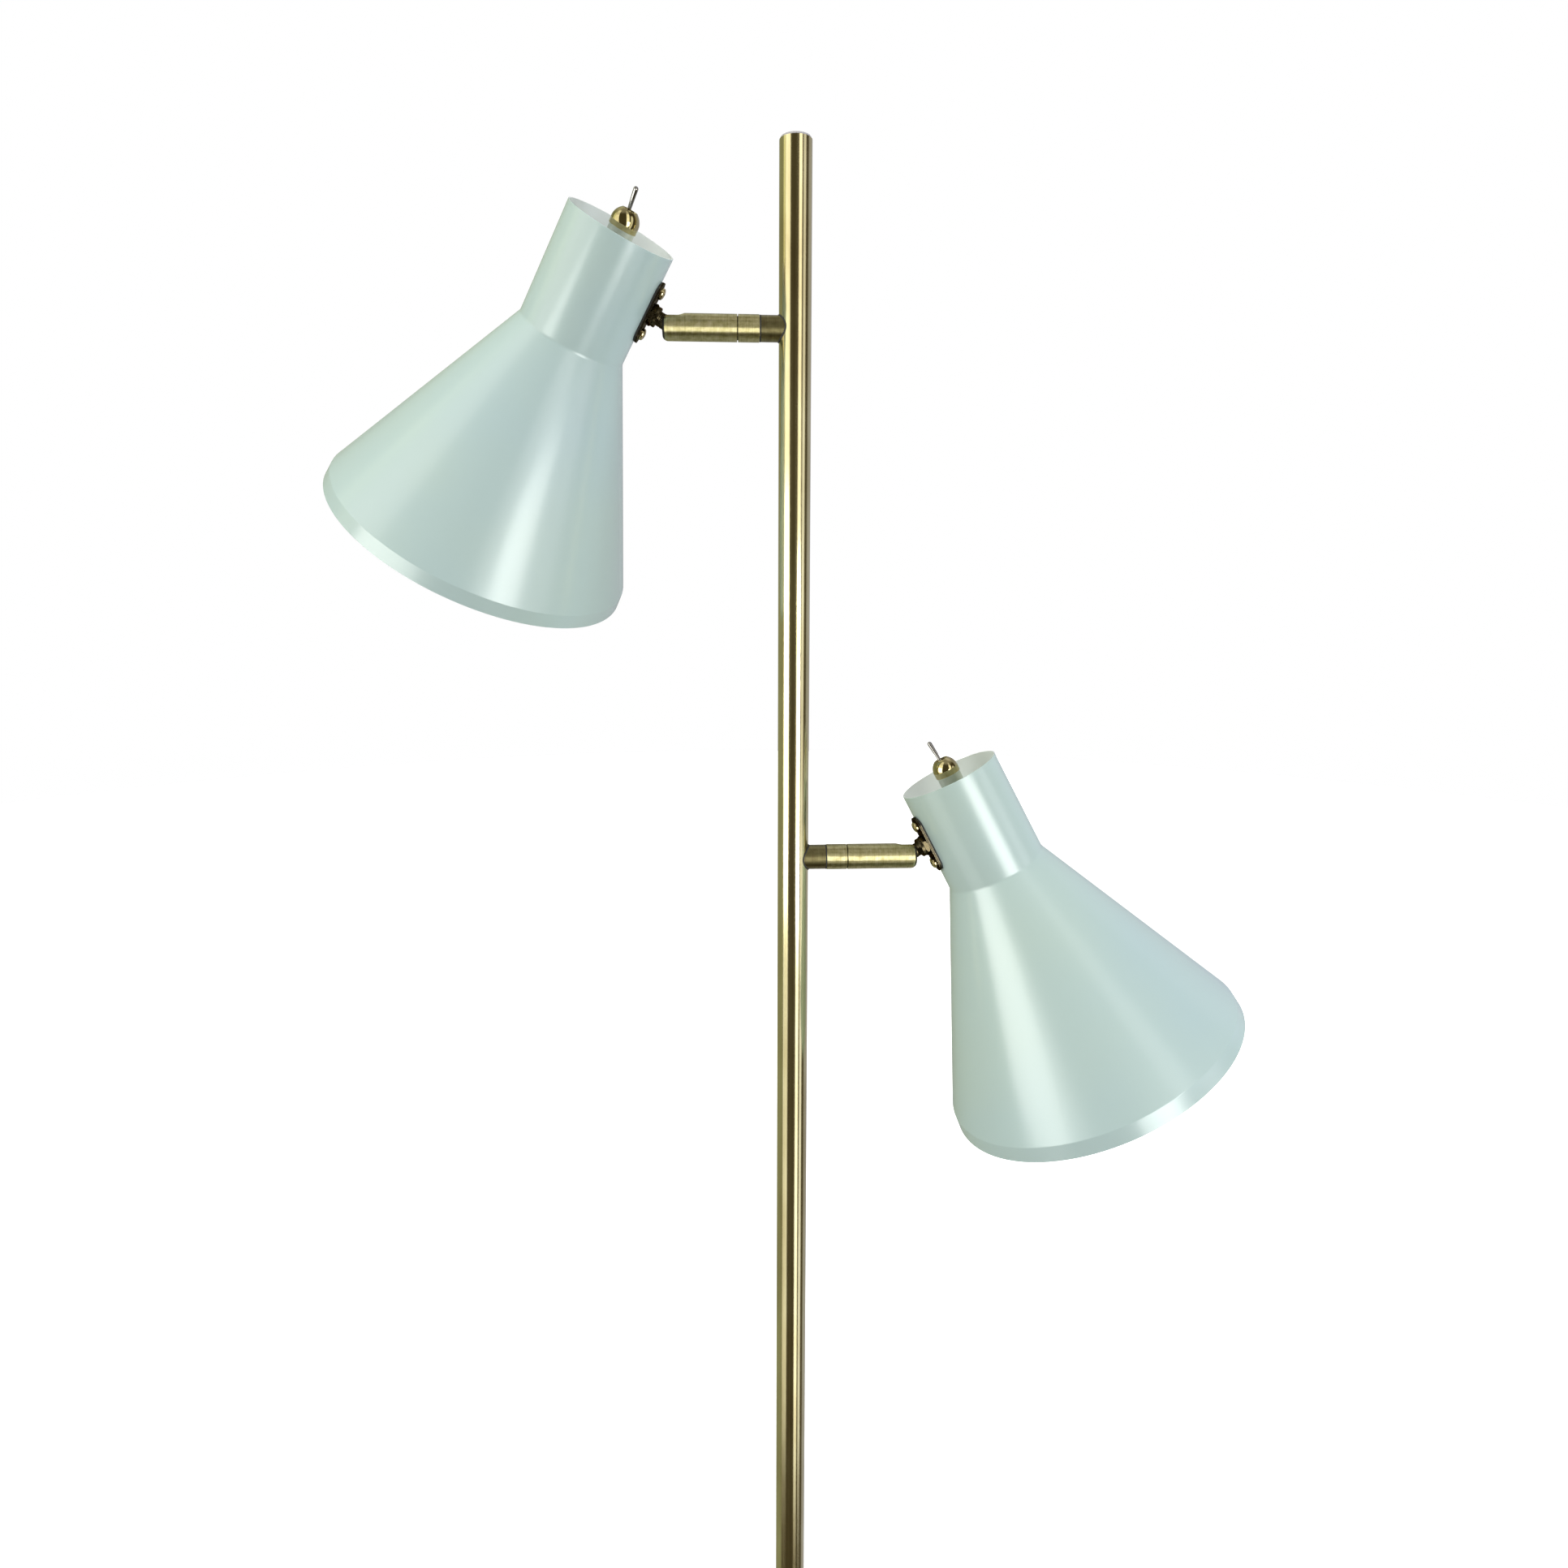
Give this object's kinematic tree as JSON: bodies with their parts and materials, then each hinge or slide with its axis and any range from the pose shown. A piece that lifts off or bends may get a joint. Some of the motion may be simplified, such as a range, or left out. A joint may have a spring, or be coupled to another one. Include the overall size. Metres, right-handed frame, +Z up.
{
  "type": "two-head floor lamp",
  "caption": "Standing spot lamp: slim round pole on a weighted round foot, with conical shades on short arms with slotted ball joints.",
  "frame": {"origin": "centre of the foot's underside, on the floor under the pole's axis", "axes": "+Z up the pole, +X along the lower arm, -X along the upper arm, +Y to the back, where the cord enters the foot"},
  "size_m": [0.6472, 0.2931, 1.503],
  "materials": {
    "black_pad": "matte",
    "cast_iron": "matte",
    "antique_brass": "satin",
    "dark_brass": "satin",
    "screw_brass": "polished",
    "polished_brass": "polished",
    "zinc_steel": "satin",
    "spring_steel": "satin",
    "black_rubber": "matte",
    "lead_sheath": "matte",
    "white_plastic": "satin",
    "black_nylon": "satin",
    "mint_paint": "satin",
    "opal_glass": "gloss",
    "pale_nickel": "polished",
    "chrome": "polished"
  },
  "bodies": {
    "stand": {"base_pad": "black_pad", "base_weight": "cast_iron", "base_cover": "antique_brass", "base_nut": "zinc_steel", "base_washer": "zinc_steel", "base_nipple": "zinc_steel", "cord_grommet": "black_rubber", "pole_foot_insert": "zinc_steel", "pole_collar": "antique_brass", "pole_lower": "antique_brass", "pole_joiner": "zinc_steel", "pole_upper": "antique_brass", "pole_end_cap": "white_plastic", "pole_wiring": "lead_sheath", "connector_block": "white_plastic", "arm_ferrules": "dark_brass", "arm_nipples": "zinc_steel", "arm_pole_nuts": "zinc_steel", "arm_washers": "black_rubber", "arm_lock_nuts": "zinc_steel"},
    "upper_arm": {"upper_arm_ring": "antique_brass", "upper_arm_barrel": "antique_brass", "upper_ball_spring": "spring_steel", "upper_ball_seat": "black_nylon", "upper_arm_lead": "lead_sheath"},
    "upper_stem": {"upper_ball_stem": "dark_brass"},
    "upper_head": {"upper_stem_nuts": "dark_brass", "upper_bracket_plate": "dark_brass", "upper_bracket_gasket": "black_rubber", "upper_plate_screws": "screw_brass", "upper_shade": "mint_paint", "upper_shade_cap": "mint_paint", "upper_holder_bracket": "zinc_steel", "upper_lamp_holder": "black_nylon", "upper_bulb": "opal_glass", "upper_switch_body": "black_nylon", "upper_switch_collar": "pale_nickel", "upper_dome_nut": "polished_brass", "upper_head_leads": "lead_sheath"},
    "upper_lever": {"upper_toggle_lever": "chrome"},
    "lower_arm": {"lower_arm_ring": "antique_brass", "lower_arm_barrel": "antique_brass", "lower_ball_spring": "spring_steel", "lower_ball_seat": "black_nylon", "lower_arm_lead": "lead_sheath"},
    "lower_stem": {"lower_ball_stem": "dark_brass"},
    "lower_head": {"lower_stem_nuts": "dark_brass", "lower_bracket_plate": "dark_brass", "lower_bracket_gasket": "black_rubber", "lower_plate_screws": "screw_brass", "lower_shade": "mint_paint", "lower_shade_cap": "mint_paint", "lower_holder_bracket": "zinc_steel", "lower_lamp_holder": "black_nylon", "lower_bulb": "opal_glass", "lower_switch_body": "black_nylon", "lower_switch_collar": "pale_nickel", "lower_dome_nut": "polished_brass", "lower_head_leads": "lead_sheath"},
    "lower_lever": {"lower_toggle_lever": "chrome"}
  },
  "joints": [
    {"name": "upper_arm_turn", "type": "hinge", "parent": "stand", "child": "upper_arm", "pos_m": [-0.04, 0, 1.38], "axis": [-1, 0, 0], "range_deg": [-82, 98]},
    {"name": "upper_head_tilt", "type": "hinge", "parent": "upper_arm", "child": "upper_stem", "pos_m": [-0.082, 0, 1.38], "axis": [0, 0.9903, 0.1392], "range_deg": [-29.5, 60.5]},
    {"name": "upper_head_spin", "type": "hinge", "parent": "upper_stem", "child": "upper_head", "pos_m": [-0.082, 0, 1.38], "axis": [-0.8704, -0.0685, 0.4876], "range_deg": [-62.5, 87.5]},
    {"name": "upper_switch_lever", "type": "hinge", "parent": "upper_head", "child": "upper_lever", "pos_m": [-0.11109, -0.01729, 1.44007], "axis": [-0.7814, 0.2573, 0.5685], "range_deg": [0, 24]},
    {"name": "lower_arm_turn", "type": "hinge", "parent": "stand", "child": "lower_arm", "pos_m": [0.04, 0, 1.015], "axis": [1, 0, 0], "range_deg": [-65, 115]},
    {"name": "lower_head_tilt", "type": "hinge", "parent": "lower_arm", "child": "lower_stem", "pos_m": [0.082, 0, 1.015], "axis": [0, -0.9063, 0.4226], "range_deg": [-28.5, 61.5]},
    {"name": "lower_head_spin", "type": "hinge", "parent": "lower_stem", "child": "lower_head", "pos_m": [0.082, 0, 1.015], "axis": [0.8788, 0.2017, 0.4325], "range_deg": [-92, 58]},
    {"name": "lower_switch_lever", "type": "hinge", "parent": "lower_head", "child": "lower_lever", "pos_m": [0.11256, 0.0149, 1.07498], "axis": [0.8508, 0.3354, 0.4044], "range_deg": [0, 24]}
  ]
}
